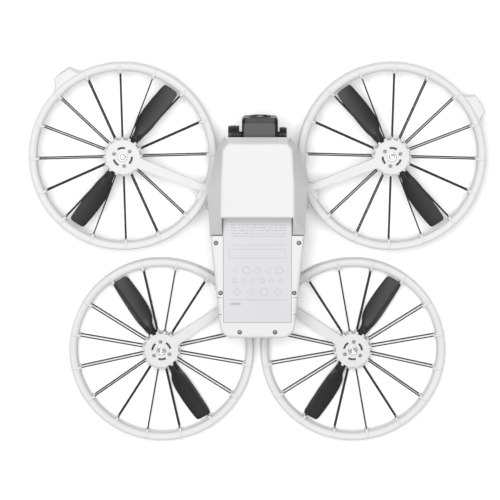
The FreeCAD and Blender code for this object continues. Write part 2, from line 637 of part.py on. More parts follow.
def camera():
    shell = box("camera_box", ("camera_middle - camera_half", "camera_front", "tilt_z - camera_high / 2"),
                ("camera_half * 2", "camera_rear - camera_front", "camera_high"))
    shell = rounded("camera_round", shell, "camera_corner",
                    lambda edge: edge.BoundBox.XLength < size("play"))
    motor_face = "fork_half - fork_thick - tilt_motor_long"
    boss_face = "-fork_half + fork_thick + tilt_boss_long"
    pivots = [cylinder("pivot_left", "pivot_radius", motor_face + " - camera_middle - camera_half + play",
                       ("camera_middle + camera_half - play", "tilt_y", "tilt_z"), "x"),
              cylinder("pivot_right", "pivot_radius", "camera_middle - camera_half + play - (%s)" % boss_face,
                       (boss_face, "tilt_y", "tilt_z"), "x")]
    lens_y = "camera_front - lens_proud"
    bore = cylinder("lens_bore", "lens_radius", "lens_long + overrun",
                    ("camera_middle", lens_y + " - overrun", "tilt_z"), "y")
    publish("camera_housing", cut("camera_cut", join("camera_body", [shell] + pivots), [bore]))
    glass_y = "camera_front - lens_proud + slide_gap"
    barrel = cylinder("barrel", "lens_radius", "lens_long", ("camera_middle", lens_y, "tilt_z"), "y")
    seat = cylinder("glass_seat", "lens_radius - lens_rim", "glass_depth + overrun",
                    ("camera_middle", glass_y + " - overrun", "tilt_z"), "y")
    publish("camera_lens_barrel", cut("barrel_cut", barrel, [seat]))
    publish("camera_lens_glass", cylinder("glass", "lens_radius - lens_rim", "glass_depth",
                                          ("camera_middle", glass_y, "tilt_z"), "y"))


def publish(label, thing):
    """Name a finished sub-part, which is written to a file of that name."""
    thing.Label = label
    PUBLISHED.append(thing)
    return thing


def export():
    """Check every object, then write each sub-part."""
    doc.recompute()
    for thing in doc.Objects:
        if "Invalid" in thing.State or "Error" in thing.State:
            raise RuntimeError("%s failed: %s" % (thing.Name, thing.State))
    os.makedirs("parts", exist_ok=True)
    for thing in PUBLISHED:
        shape = thing.Shape
        if shape.isNull() or not shape.isValid() or not shape.Solids:
            raise RuntimeError("%s has no valid solid" % thing.Label)
        shape.exportStep(os.path.join("parts", thing.Label + ".step"))
        print(thing.Label, len(shape.Solids), round(shape.Volume, 2))


def main():
    fill_sheet()
    for end in ("front", "rear"):
        for side in ("left", "right"):
            Disc(end, side).build()
    chassis()
    chassis_fittings()
    battery()
    head()
    gimbal()
    camera()
    export()


main()
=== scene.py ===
"""Looks of the folding camera drone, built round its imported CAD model. +Z is up and the nose is at -Y.

Sizes are in millimetres and angles in degrees, except that the floor's size, the light's place and
size, and the camera's reach are in metres, as the scene itself is.
"""
import bmesh
import bpy
import json
import math
import random
from mathutils import Matrix, Vector


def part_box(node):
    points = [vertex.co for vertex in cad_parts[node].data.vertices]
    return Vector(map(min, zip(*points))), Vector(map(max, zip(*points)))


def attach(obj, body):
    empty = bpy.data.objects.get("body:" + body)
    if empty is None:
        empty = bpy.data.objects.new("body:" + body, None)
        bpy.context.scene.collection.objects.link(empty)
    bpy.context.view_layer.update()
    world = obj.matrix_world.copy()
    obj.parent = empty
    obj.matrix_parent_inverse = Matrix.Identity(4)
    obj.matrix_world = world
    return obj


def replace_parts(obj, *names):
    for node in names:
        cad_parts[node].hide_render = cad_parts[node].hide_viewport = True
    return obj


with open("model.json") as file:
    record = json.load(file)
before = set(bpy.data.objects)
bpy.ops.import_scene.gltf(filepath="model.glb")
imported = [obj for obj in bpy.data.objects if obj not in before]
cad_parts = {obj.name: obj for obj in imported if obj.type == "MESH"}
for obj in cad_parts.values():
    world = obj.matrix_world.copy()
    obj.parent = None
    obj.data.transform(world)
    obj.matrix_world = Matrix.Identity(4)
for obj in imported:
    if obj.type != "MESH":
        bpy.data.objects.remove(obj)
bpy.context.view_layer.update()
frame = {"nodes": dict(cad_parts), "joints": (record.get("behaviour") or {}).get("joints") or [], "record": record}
NODES = frame["nodes"]
JOINTS = {joint["name"]: joint for joint in frame["joints"]}
MM = 0.001
UP = Vector((0, 0, 1))
ENDS = ("front", "rear")
SIDES = ("left", "right")
random.seed(7)


# ---------------------------------------------------------------- camera, floor and light

SENSOR = 36.0
LENS = 189.53
CAMERA_LEAN = 8.5
CAMERA_AIM = (4.41, -4.47, 30)
CAMERA_REACH = 1.6
FLOOR_SIZE = 6
FLOOR_DROP = 0.4
FLOOR_TONE = (0.97, 0.97, 0.97)
FLOOR_ROUGHNESS = 0.95
SKY_STRENGTH = 0.36
KEY_PLACE = (0.08, -0.3, 1.8)
KEY_SIZE = 1.0
KEY_POWER = 34


def add_camera():
    """A long lens high above the nose, leaning back a little."""
    data = bpy.data.cameras.new("camera")
    data.sensor_width = SENSOR
    data.lens = LENS
    camera = bpy.data.objects.new("camera", data)
    lean = math.radians(CAMERA_LEAN)
    right = Vector((-1, 0, 0))
    top = Vector((0, -math.cos(lean), -math.sin(lean)))
    back = right.cross(top)
    turn = Matrix((right, top, back)).transposed().to_4x4()
    camera.matrix_world = Matrix.Translation(Vector(CAMERA_AIM) * MM + back * CAMERA_REACH) @ turn
    bpy.context.scene.collection.objects.link(camera)
    bpy.context.scene.camera = camera


def add_floor():
    bpy.ops.mesh.primitive_plane_add(size=FLOOR_SIZE, location=(0, 0, -FLOOR_DROP * MM))
    floor = bpy.context.object
    floor.name = "floor"
    floor.data.materials.append(plain("floor_paint", FLOOR_TONE, FLOOR_ROUGHNESS))


def add_key_light():
    """A large soft disc overhead, a little towards the nose, aimed at the origin."""
    data = bpy.data.lights.new("key", "AREA")
    data.shape = "DISK"
    data.size = KEY_SIZE
    data.energy = KEY_POWER
    light = bpy.data.objects.new("key", data)
    light.location = KEY_PLACE
    light.rotation_euler = (-Vector(KEY_PLACE)).to_track_quat("-Z", "Y").to_euler()
    bpy.context.scene.collection.objects.link(light)


def add_sky():
    world = bpy.data.worlds.new("studio")
    bpy.context.scene.world = world
    world.use_nodes = True
    sky = world.node_tree.nodes["Background"].inputs
    sky["Color"].default_value = (1, 1, 1, 1)
    sky["Strength"].default_value = SKY_STRENGTH
    bpy.context.scene.view_settings.view_transform = "Standard"


# ---------------------------------------------------------------- materials

# name: colour, roughness, grain scale, grain depth, spread of tone, and what is out of the ordinary
SURFACES = {
    "body_white": ((0.625, 0.626, 0.63), 0.55, 1600, 0.03, 0.015, {"specular": 0.25}),
    "guard_white": ((0.645, 0.645, 0.648), 0.6, 1300, 0.03, 0.02, {"specular": 0.25}),
    "hub_white": ((0.62, 0.62, 0.62), 0.5, 1500, 0.02, 0.03, {"specular": 0.3}),
    "spoke_dark": ((0.022, 0.021, 0.021), 0.45, 2600, 0.03, 0.2, {"specular": 0.2}),
    "blade_dark": ((0.016, 0.016, 0.018), 0.5, 1800, 0.05, 0.18, {"specular": 0.3}),
    "motor_metal": ((0.50, 0.51, 0.53), 0.3, 2400, 0.02, 0.06, {"metal": 1.0}),
    # motor_copper is the copper's own colour, darkened further to paint the shade down in the hub plate's slots
    "motor_copper": ((0.15, 0.04, 0.018), 0.5, 2600, 0.05, 0.3, {"metal": 0.3}),
    "screw_steel": ((0.33, 0.325, 0.33), 0.4, 2200, 0.03, 0.1, {"metal": 0.8}),
    "pin_steel": ((0.42, 0.42, 0.44), 0.3, 2200, 0.02, 0.05, {"metal": 1.0}),
    "camera_dark": ((0.009, 0.009, 0.010), 0.4, 1700, 0.04, 0.15, {"specular": 0.25}),
    "gimbal_dark": ((0.016, 0.016, 0.018), 0.4, 2000, 0.02, 0.12, {"metal": 0.2, "specular": 0.3}),
    "cap_grey": ((0.055, 0.056, 0.058), 0.5, 1900, 0.03, 0.1, {"specular": 0.3}),
    "plate_grey": ((0.55, 0.553, 0.57), 0.55, 1500, 0.02, 0.035, {"specular": 0.25, "stretch": (1, 0.08, 1)}),
    "cell_foil": ((0.3, 0.32, 0.36), 0.4, 700, 0.1, 0.06, {"metal": 0.5}),
    "board_green": ((0.03, 0.12, 0.06), 0.35, 900, 0.05, 0.12, {}),
    "contact_gold": ((0.75, 0.5, 0.16), 0.25, 2000, 0.02, 0.05, {"metal": 1.0}),
    "button_grey": ((0.50, 0.505, 0.52), 0.45, 1600, 0.02, 0.02, {}),
    "seam_shadow": ((0.14, 0.14, 0.145), 0.7, 1500, 0.02, 0.1, {}),
    "mark_ink": ((0.36, 0.36, 0.385), 0.6, 1500, 0.01, 0.04, {}),
}
GLASSES = {"lens_glass": (0.008, 0.01, 0.016), "window_dark": (0.012, 0.012, 0.014)}
GLASS_ROUGHNESS = 0.04
GLASS_TINT = (0.75, 0.85, 1.0, 1)
FINE_DETAIL = 4
BROAD_SCALE = 22
BROAD_DETAIL = 3
TONE_STOPS = (0.3, 0.7)
GLOSS_SPREAD = 0.07
GRAIN_STRENGTH = 0.35

# how wide the rounded edges of the CAD nodes are, by slot
EDGE_ROUNDS = {"body_white": 0.35, "guard_white": 0.3, "hub_white": 0.25, "camera_dark": 0.3,
               "gimbal_dark": 0.25, "button_grey": 0.2, "motor_metal": 0.15}
EDGE_ANGLE = 38
EDGE_SEGMENTS = 2


def shader_of(material):
    return material.node_tree.nodes["Principled BSDF"]


def plain(name, colour, roughness):
    material = bpy.data.materials.new(name)
    material.use_nodes = True
    shader = shader_of(material)
    shader.inputs["Base Color"].default_value = (*colour, 1)
    shader.inputs["Roughness"].default_value = roughness
    return material


def noise_node(tree, scale, detail, vector):
    noise = tree.nodes.new("ShaderNodeTexNoise")
    noise.inputs["Scale"].default_value = scale
    noise.inputs["Detail"].default_value = detail
    tree.links.new(vector, noise.inputs["Vector"])
    return noise.outputs["Fac"]


def vary_tone(tree, shader, fac, colour, spread):
    """The colour drifts a little either way across the surface."""
    tone = tree.nodes.new("ShaderNodeValToRGB")
    for element, stop, sign in zip(tone.color_ramp.elements, TONE_STOPS, (-1, 1)):
        element.color = (*[min(channel * (1 + sign * spread), 1) for channel in colour], 1)
        element.position = stop
    tree.links.new(fac, tone.inputs["Fac"])
    tree.links.new(tone.outputs["Color"], shader.inputs["Base Color"])


def vary_gloss(tree, shader, fac, roughness):
    gloss = tree.nodes.new("ShaderNodeMapRange")
    gloss.inputs["To Min"].default_value = roughness - GLOSS_SPREAD
    gloss.inputs["To Max"].default_value = roughness + GLOSS_SPREAD
    tree.links.new(fac, gloss.inputs["Value"])
    tree.links.new(gloss.outputs["Result"], shader.inputs["Roughness"])


def add_grain(tree, shader, fac, depth):
    bump = tree.nodes.new("ShaderNodeBump")
    bump.inputs["Strength"].default_value = GRAIN_STRENGTH
    bump.inputs["Distance"].default_value = depth * MM
    tree.links.new(fac, bump.inputs["Height"])
    tree.links.new(bump.outputs["Normal"], shader.inputs["Normal"])


def textured(name, colour, roughness, grain, depth, spread, metal=0.0, specular=0.5, stretch=(1, 1, 1)):
    """A moulded or machined surface: tone and gloss vary a little, over a fine grain."""
    material = plain(name, colour, roughness)
    tree, shader = material.node_tree, shader_of(material)
    shader.inputs["Metallic"].default_value = metal
    shader.inputs["Specular IOR Level"].default_value = specular
    place = tree.nodes.new("ShaderNodeTexCoord")
    scale = tree.nodes.new("ShaderNodeMapping")
    scale.inputs["Scale"].default_value = stretch
    tree.links.new(place.outputs["Object"], scale.inputs["Vector"])
    fine = noise_node(tree, grain, FINE_DETAIL, scale.outputs["Vector"])
    broad = noise_node(tree, BROAD_SCALE, BROAD_DETAIL, scale.outputs["Vector"])
    vary_tone(tree, shader, broad, colour, spread)
    vary_gloss(tree, shader, broad, roughness)
    add_grain(tree, shader, fine, depth)
    return material


def glass(name, colour):
    material = plain(name, colour, GLASS_ROUGHNESS)
    shader = shader_of(material)
    shader.inputs["Coat Weight"].default_value = 1.0
    shader.inputs["Coat Tint"].default_value = GLASS_TINT
    return material


def make_materials():
    made = {name: textured(name, *recipe, **extra) for name, (*recipe, extra) in SURFACES.items()}
    made.update({name: glass(name, colour) for name, colour in GLASSES.items()})
    return made


def dress_cad():
    """Every CAD node keeps its slot's material; sharp moulded edges get a small round."""
    for part in frame["record"]["subparts"]:
        node, slot = NODES[part["node"]], part["material_slot"]
        node.data.materials.clear()
        node.data.materials.append(MATERIALS[slot])
        if slot in EDGE_ROUNDS:
            soften(node, EDGE_ROUNDS[slot])


def soften(piece, width):
    bevel = piece.modifiers.new("edge", "BEVEL")
    bevel.width = width * MM
    bevel.segments = EDGE_SEGMENTS
    bevel.limit_method = "ANGLE"
    bevel.angle_limit = math.radians(EDGE_ANGLE)
    bevel.use_clamp_overlap = True
    bevel.harden_normals = False


# ---------------------------------------------------------------- mesh helpers

def mesh_piece(name, build, material, body, smooth=True):
    """Makes one mesh piece with build(bm), gives it its finish and sets it on its body."""
    bm = bmesh.new()
    build(bm)
    mesh = bpy.data.meshes.new(name)
    bm.normal_update()
    bm.to_mesh(mesh)
    bm.free()
    piece = bpy.data.objects.new(name, mesh)
    bpy.context.scene.collection.objects.link(piece)
    mesh.materials.append(MATERIALS[material])
    if smooth:
        mesh.shade_smooth()
    else:
        mesh.shade_flat()
    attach(piece, body)
    return piece


def rise(height):
    """Straight up by a height in millimetres."""
    return UP * (height * MM)


def scaled(pairs):
    return [(first * MM, second * MM) for first, second in pairs]


def mirrored(rows):
    """Half of an outline and its mirror image, as one closed outline."""
    return rows + [(x, -y) for x, y in reversed(rows)]


def circle_turns(steps):
    return [math.tau * k / steps for k in range(steps)]


def arc(centre, radii, start, stop, count):
    """Points along an elliptic arc, both ends included."""
    turns = [math.radians(start + (stop - start) * k / (count - 1)) for k in range(count)]
    return [(centre[0] + radii[0] * math.cos(turn), centre[1] + radii[1] * math.sin(turn)) for turn in turns]


def outward_faces(bm):
    bmesh.ops.recalc_face_normals(bm, faces=bm.faces)


def loft(bm, loops):
    """Joins equal loops of points in turn, and closes both ends."""
    rows = [[bm.verts.new(point) for point in loop] for loop in loops]
    count = len(rows[0])
    for low, high in zip(rows, rows[1:]):
        for index in range(count):
            after = (index + 1) % count
            bm.faces.new((low[index], low[after], high[after], high[index]))
    bm.faces.new(list(reversed(rows[0])))
    bm.faces.new(rows[-1])


def turned(bm, profile, centre, axis=UP, steps=32):
    """A solid of revolution: profile holds (radius, height) pairs from one end to the other."""
    tilt = UP.rotation_difference(axis).to_matrix()
    loft(bm, [[Vector(centre) + tilt @ Vector((radius * math.cos(turn), radius * math.sin(turn), height))
               for turn in circle_turns(steps)] for radius, height in profile])


def sweep(bm, rows):
    """Closes a row of equal closed sections into a ring of faces."""
    count = len(rows[0])
    for near, far in zip(rows, rows[1:] + rows[:1]):
        for index in range(count):
            after = (index + 1) % count
            bm.faces.new((near[index], far[index], far[after], near[after]))


def ring(bm, centre, profile, steps):
    """A closed ring swept round +Z from a closed profile of (radius, height) pairs."""
    sweep(bm, [[bm.verts.new(Vector(centre) + Vector((r * math.cos(turn), r * math.sin(turn), h)))
                for r, h in profile] for turn in circle_turns(steps)])


def plan_points(origin, out, rows, height):
    """Points laid out along and across a direction, at one height over the origin."""
    across = UP.cross(out)
    return [origin + out * x * MM + across * y * MM + rise(height) for x, y in rows]


def joint_point(name):
    return Vector(JOINTS[name]["pos_m"])


def hub_of(end, side):
    return joint_point("%s_%s_spin" % (end, side))


def direction(angle, side):
    """Unit vector at an angle of the left-hand disc, mirrored on the right."""
    turn = math.radians(angle)
    return Vector((math.cos(turn) * (1 if side == "left" else -1), math.sin(turn), 0))


# ---------------------------------------------------------------- discs

SPOKES = 15
SPOKE_STEP = 22.5
SPOKE_LEVELS = (4.6, -4.5)
ARM_ANGLE = {"front": 159.0, "rear": 215.0}
DISC_HALF = 6.2

# the upper half of the guard's section: centre, radii, start, stop and count of each arc
LIP_ARCS = (((55.3, 4.5), (1.7, 1.7), 0, 90, 6), ((55.3, 4.0), (3.1, 2.2), 100, 180, 8),
            ((52.7, 3.9), (0.5, 0.4), 190, 260, 3), ((54.6, 2.7), (0.8, 0.8), 80, 0, 4))
RING_STEPS = 160
CRISP_ANGLE = 40

FOOT_ANGLE = {"front_left": -54.0, "front_right": -31.0}
# half of the tab's outline, (distance from the hub, half width), and where its rounded edge starts
TAB_HALF = [(55.6, 9.6), (57.6, 8.3), (59.0, 7.1), (60.6, 6.6), (61.6, 6.3), (62.3, 5.6), (62.6, 4.4)]
TAB_ROUND_FROM = 57
TAB_INSET = 0.5
TAB_NARROWING = 0.94
TAB_LEVELS = (-6.0, -5.4, 3.9, 4.6)
# height and share of full width, down the leg
LEG_LEVELS = ((-5.0, 1.0), (-9.0, 0.93), (-14.0, 0.78), (-19.0, 0.62), (-21.2, 0.52), (-21.7, 0.44))
LEG_CORNER = ((61.6, 5.2), (1.0, 1.0), 0, 90, 4)
LEG_INNER = [(59.0, 6.0), (58.7, 5.2)]

# (distance, rise, radius) along a spoke, where it enters the ring's lips and the hub plates
PROUD_COLLAR = ((50.6, 0, 0.5), (50.9, 0, 0.85), (52.2, 0.2, 1.0), (54.0, 0.85, 1.02),
                (55.4, 1.15, 0.92), (56.2, 0.9, 0.5))
FLUSH_COLLAR = ((50.9, 0, 0.5), (51.2, 0, 0.74), (52.4, -0.15, 0.84), (54.2, -0.55, 0.86),
                (55.6, -0.75, 0.8), (56.1, -0.8, 0.5))
HUB_COLLAR = ((9.4, 0, 1.1), (10.6, 0, 1.15), (11.4, 0, 0.95), (11.9, 0, 0.6))
COLLAR_STEPS = 12

# distance from the hub's axis, left and right edge, pitch, thickness
BLADE_STATIONS = (
    (11.5, -1.2, 1.2, 0, 1.2), (11.8, -2.1, 2.1, 0, 2.3), (12.6, -2.8, 2.8, 0, 2.7),
    (14.2, -3.1, 3.0, 2, 2.6), (16.2, -3.2, 3.2, 6, 2.2), (17.8, -3.6, 4.0, 11, 1.8),
    (19.6, -4.1, 5.3, 15, 1.5), (21.6, -4.5, 6.2, 17, 1.3), (26.0, -4.9, 6.9, 16, 1.2),
    (33.0, -5.1, 6.9, 14, 1.1), (40.0, -5.2, 6.4, 12, 1.0), (46.0, -5.2, 5.8, 10, 0.9),
    (48.8, -5.1, 5.4, 9, 0.8), (50.0, -4.6, 4.9, 9, 0.65), (50.5, -3.6, 3.9, 9, 0.4))
BLADE_LEVEL = -1.0
BLADE_STEPS = 24
CAMBER = 0.35
SECTION_POWER = 0.8         # below 1 it squares the section off
NOSE_SHARE = 0.25           # how much fuller the leading half is
ROOT_RING = ((1.15, 0.1), (2.0, 0.1), (2.55, 0.55), (2.6, 1.15), (2.3, 1.4), (1.95, 1.4),
             (1.8, 1.1), (1.2, 1.0))
ROOT_DROP = -0.6
ROOT_STEPS = 32

TEETH = 12
WRAPS = 6
WRAP_START, WRAP_STEP = 4.5, 0.36
WRAP_HALF, WRAP_GROWTH = 0.85, 0.07
WIRE_RADIUS, WIRE_END, WIRE_TAPER = 0.17, 0.08, 0.1
WIRE_LEVEL = 3.75
WIRE_STEPS = 8

# share of the radius, share of the depth, and how deep the six lobes are
SCREW_LOOPS = ((0.96, 1, 0), (1, 0.8, 0), (1, 0.14, 0), (0.9, 0, 0), (0.56, 0, 0.1),
               (0.52, 0.1, 0.12), (0.48, 0.6, 0.12), (0.1, 0.65, 0))
SCREW_STEPS = 36
LOBES = 6
MOTOR_SCREW_ORBIT = 5.5
MOTOR_SCREW_RADIUS, MOTOR_SCREW_DEPTH = 1.18, 1.4

CUP = ((1.2, -3.8), (7.9, -3.8), (8.6, -3.4), (8.8, -2.9), (8.8, -2.2), (8.6, -2.0), (8.6, -1.5),
       (8.8, -1.3), (8.8, 2.6), (8.5, 3.2), (8.1, 3.2), (8.0, -2.4), (1.5, -2.6), (1.5, 6.0), (1.2, 6.2))
CUP_STEPS = 48
SHAFT = ((0.3, -3.6), (1.21, -3.6), (1.21, 6.0), (0.8, 6.15), (0.4, 5.9))
SHAFT_STEPS = 24
PIN = ((0.5, -3.7), (1.0, -3.5), (1.0, 0.5), (1.65, 0.55), (1.68, 0.95), (1.45, 1.18), (0.75, 1.18),
       (0.7, 0.8), (0.1, 0.75))
PIN_STEPS = 28
EAR_ROOT = [(7.6, 3.4), (11.0, 2.7)]
EAR_TIP = ((13.9, 0), (2.4, 2.5), 80, 0, 6)
EAR_LEVELS = (-3.75, -2.85)
BEARING = ((1.75, 0), (2.9, 0), (2.85, 0.2), (2.6, 0.32), (2.05, 0.32), (1.8, 0.2))
BEARING_SINK = 0.05
BEARING_STEPS = 40


def ring_outline():
    """The guard's section: a flat outer wall and two flared lips with a channel between them."""
    upper = [point for lip in LIP_ARCS for point in arc(*lip)]
    return scaled(upper + [(radius, -height) for radius, height in reversed(upper)])


def foot(bm, hub, side, angle):
    """A flared tab on the ring and a leg that tapers down to the ground."""
    out = direction(angle, side)
    full = mirrored(TAB_HALF)
    inset = [(x if x < TAB_ROUND_FROM else x - TAB_INSET, y * TAB_NARROWING) for x, y in full]
    loft(bm, [plan_points(hub, out, rows, z) for rows, z in zip((inset, full, full, inset), TAB_LEVELS)])
    half = arc(*LEG_CORNER) + LEG_INNER
    loft(bm, [plan_points(hub, out, mirrored([(x, y * wide) for x, y in half]), z)
              for z, wide in LEG_LEVELS])


def collar(bm, base, out, sizes):
    """A moulded sleeve round a spoke: (distance, rise, radius) along it."""
    across = UP.cross(out)
    loops = []
    for reach, height, radius in sizes:
        centre = base + out * reach * MM + rise(height)
        loops.append([centre + (across * math.cos(turn) + UP * math.sin(turn)) * radius * MM
                      for turn in circle_turns(COLLAR_STEPS)])
    loft(bm, loops)


def collars(bm, end, side, upper, lower):
    """One collar for each spoke of both layers."""
    for level, sizes in zip(SPOKE_LEVELS, (upper, lower)):
        for index in range(1, SPOKES + 1):
            out = direction(ARM_ANGLE[end] + SPOKE_STEP * index, side)
            collar(bm, hub_of(end, side) + rise(level), out, sizes)


def guard(end, side, tag):
    """The ring with its spoke sleeves, and a foot on the front ones."""
    hub = hub_of(end, side)

    def build(bm):
        ring(bm, hub, ring_outline(), RING_STEPS)
        collars(bm, end, side, PROUD_COLLAR, FLUSH_COLLAR)
        if tag in FOOT_ANGLE:
            foot(bm, hub, side, FOOT_ANGLE[tag])
        outward_faces(bm)
    piece = mesh_piece(tag + "_guard", build, "guard_white", tag + "_disc")
    split = piece.modifiers.new("crisp", "EDGE_SPLIT")
    split.split_angle = math.radians(CRISP_ANGLE)
    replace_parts(piece, tag + "_guard_ring")


def hub_sleeves(end, side, tag):
    """Short sleeves round the rims of both hub plates, one to a spoke."""
    def build(bm):
        collars(bm, end, side, HUB_COLLAR, HUB_COLLAR)
    mesh_piece(tag + "_hub_sleeves", build, "hub_white", tag + "_disc")


def blade_loop(across, centre, left, right, pitch, thick):
    """A rounded, gently cambered section, square to the span."""
    lean = math.radians(pitch)
    along = across * math.cos(lean) + UP * math.sin(lean)
    normal = UP * math.cos(lean) - across * math.sin(lean)
    loop = []
    for turn in circle_turns(BLADE_STEPS):
        share = math.cos(turn)
        camber = CAMBER * thick * (1 - share * share)
        fullness = 1 - NOSE_SHARE + NOSE_SHARE * share
        swell = math.copysign(abs(math.sin(turn)) ** SECTION_POWER * fullness, math.sin(turn))
        loop.append(centre + along * ((left + right) / 2 + share * (right - left) / 2)
                    + normal * (camber + swell * thick / 2))
    return loop


def blade(end, side, node):
    """A foil with a round root, and the ring round its pivot."""
    hub, pivot = hub_of(end, side), joint_point(node + "_swing")
    out = (pivot - hub).normalized()
    hand = (1 if end == "front" else -1) * (1 if side == "left" else -1)
    across = UP.cross(out) * hand
    level = hub + rise(BLADE_LEVEL)

    def foil(bm):
        loft(bm, [blade_loop(across, level + out * reach * MM, left * MM, right * MM, -pitch, thick * MM)
                  for reach, left, right, pitch, thick in BLADE_STATIONS])
        outward_faces(bm)
    piece = mesh_piece(node + "_foil", foil, "blade_dark", node)
    smooth = piece.modifiers.new("smooth", "SUBSURF")
    smooth.levels = smooth.render_levels = 1
    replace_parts(piece, node)

    def root(bm):
        ring(bm, pivot + rise(ROOT_DROP), scaled(ROOT_RING), ROOT_STEPS)
    mesh_piece(node + "_root_ring", root, "blade_dark", node)


def windings(end, side, tag):
    """Wound copper that shows through the slots of the hub plate, its colour darkened past real copper to paint
    the shade down in the slots.
    """
    hub = hub_of(end, side)

    def build(bm):
        for tooth in range(TEETH):
            turn = math.tau * (tooth + 0.5) / TEETH
            out = Vector((math.cos(turn), math.sin(turn), 0))
            for wrap in range(WRAPS):
                half = WRAP_HALF + wrap * WRAP_GROWTH
                wire = ((WIRE_END, -half), (WIRE_RADIUS, WIRE_TAPER - half),
                        (WIRE_RADIUS, half - WIRE_TAPER), (WIRE_END, half))
                centre = hub + out * (WRAP_START + wrap * WRAP_STEP) * MM + rise(WIRE_LEVEL)
                turned(bm, scaled(wire), centre, UP.cross(out), WIRE_STEPS)
    mesh_piece(tag + "_windings", build, "motor_copper", tag + "_disc")


def screw_head(bm, top, radius, depth):
    """A flat head with a six-lobed socket, its upper face at top."""
    loops = []
    for size, drop, lobes in SCREW_LOOPS:
        loop = []
        for turn in circle_turns(SCREW_STEPS):
            reach = radius * size * (1 + lobes * math.cos(LOBES * turn)) * MM
            loop.append(top + Vector((reach * math.cos(turn), reach * math.sin(turn), -depth * drop * MM)))
        loops.append(loop)
    loft(bm, loops)


def motor_screws(end, side, tag):
    node = tag + "_motor_screws"

    def build(bm):
        for angle in (60, 180, 300):
            out = direction(ARM_ANGLE[end] + angle, side)
            top = hub_of(end, side) + out * MOTOR_SCREW_ORBIT * MM + rise(DISC_HALF)
            screw_head(bm, top, MOTOR_SCREW_RADIUS, MOTOR_SCREW_DEPTH)
    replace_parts(mesh_piece(node + "_heads", build, "screw_steel", tag + "_disc"), node)


def bell(end, side, tag):
    """The rotor: a ribbed cup on its shaft, with a headed pin through an ear for each blade."""
    hub = hub_of(end, side)

    def cup(bm):
        ring(bm, hub, scaled(CUP), CUP_STEPS)
        turned(bm, scaled(SHAFT), hub, steps=SHAFT_STEPS)
        outward_faces(bm)
    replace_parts(mesh_piece(tag + "_rotor_cup", cup, "motor_metal", tag + "_rotor"), tag + "_motor_bell")

    def pins(bm):
        ear = mirrored(EAR_ROOT + arc(*EAR_TIP))
        for letter in "ab":
            pivot = joint_point("%s_blade_%s_swing" % (tag, letter))
            turned(bm, scaled(PIN), pivot, steps=PIN_STEPS)
            out = (pivot - hub).normalized()
            loft(bm, [plan_points(hub, out, ear, z) for z in EAR_LEVELS])
        outward_faces(bm)
    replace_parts(mesh_piece(tag + "_blade_pins", pins, "gimbal_dark", tag + "_rotor"), tag + "_motor_bell")


def bearing(end, side, tag):
    def build(bm):
        ring(bm, hub_of(end, side) + rise(DISC_HALF - BEARING_SINK), scaled(BEARING), BEARING_STEPS)
    mesh_piece(tag + "_bearing_rim", build, "pin_steel", tag + "_disc")


def make_discs():
    for end in ENDS:
        for side in SIDES:
            tag = end + "_" + side
            for make in (guard, hub_sleeves, windings, motor_screws, bell, bearing):
                make(end, side, tag)
            for letter in "ab":
                blade(end, side, "%s_blade_%s" % (tag, letter))


# ---------------------------------------------------------------- body

BODY_SCREWS = ((24.7, -13.2), (22.0, 17.0), (10.6, 40.9))
BODY_SCREW_RADIUS, BODY_SCREW_DEPTH, BODY_SCREW_SINK = 0.98, 1.5, 0.1
# the dark ring round each battery screw, painted shade for its recess, as (radius, height) pairs
SEAT = ((0.99, -0.5), (1.36, -0.5), (1.36, 0.02), (1.28, 0.04), (1.2, -0.12), (0.99, -0.2))
SEAT_STEPS = 32

MARK_RISE = 0.02
MARK_HALF = 17.0
MARK_LINE = 0.2
# rows, first Y, pitch and height of each block of dashes
HEADING_DASHES = (6, -26.0, 1.7, 0.35)
SUBHEADING_DASHES = (1, -12.0, 1.0, 0.25)
FOOTING_DASHES = (1, 21.0, 1.0, 0.3)
DASH_LONG = (1.2, 4.6)
DASH_GAP = (0.5, 1.1)
DASH_LEAST = 2
FRAME_NEAR, FRAME_FAR = -9.5, -4.1
# Y, radius and count of each row of outlines, and how many sides the kinds have
OUTLINE_ROWS = ((3.4, 2.3, 5), (9.4, 1.6, 6), (16.4, 2.5, 4))
OUTLINE_SIDES = (20, 4, 3)
OUTLINE_WEIGHT = 1.4
OUTLINE_OFFSET, OUTLINE_SPARE = 0.6, 0.2
LAST_BAR = (10.0, 23.0, 16.0, 24.2)

# the seam bars are painted shade: thin dark strips that stand in for the shadow in the plate's groove and the
# rails' cuts
SEAM_DEPTH = 0.3
GROOVE_HALF = 0.12
GROOVE_WIDE = 0.22
CUT_HALF = 0.14
CUT_START = 21.2
CUT_PLACES = (19.9, 30.0)
# the battery's half width is this much, less this share of Y, less the rounded edge
RAIL_HALF, RAIL_TAPER, RAIL_EDGE = 27.2, 0.1, 0.9

CAP_SIDE, CAP_FRONT, CAP_REAR = 2.6, 3.0, 2.0
CAP_CORNER = 1.0
CAP_LOOPS = ((0, -0.5), (0, 0.1), (0.35, 0.3))      # inset and height over the housing
CAP_ROUND = 0.15
# X and radius of each band round the tilt axis, and half of a band's section as (depth, half width)
BANDS = ((11.6, 5.6), (13.4, 5.75), (15.2, 5.6), (-14.0, 4.6), (-15.6, 4.75))
BAND_SECTION = ((0.8, 0.75), (0.25, 0.75), (0, 0.45))
BAND_STEPS = 40


def battery_screws():
    """Six socket heads on the battery's top, each ringed by a dark seat that paints the shade in the recess round
    it.
    """
    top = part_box("battery_screws")[1][2]
    places = [Vector((sign * x * MM, y * MM, top)) for x, y in BODY_SCREWS for sign in (-1, 1)]

    def heads(bm):
        for place in places:
            screw_head(bm, place - rise(BODY_SCREW_SINK), BODY_SCREW_RADIUS, BODY_SCREW_DEPTH)
    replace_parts(mesh_piece("battery_screw_heads", heads, "screw_steel", "battery"), "battery_screws")

    def seat_shade(bm):
        for place in places:
            ring(bm, place, scaled(SEAT), SEAT_STEPS)
    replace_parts(mesh_piece("battery_screw_seat_shade", seat_shade, "gimbal_dark", "battery"), "battery_screws")


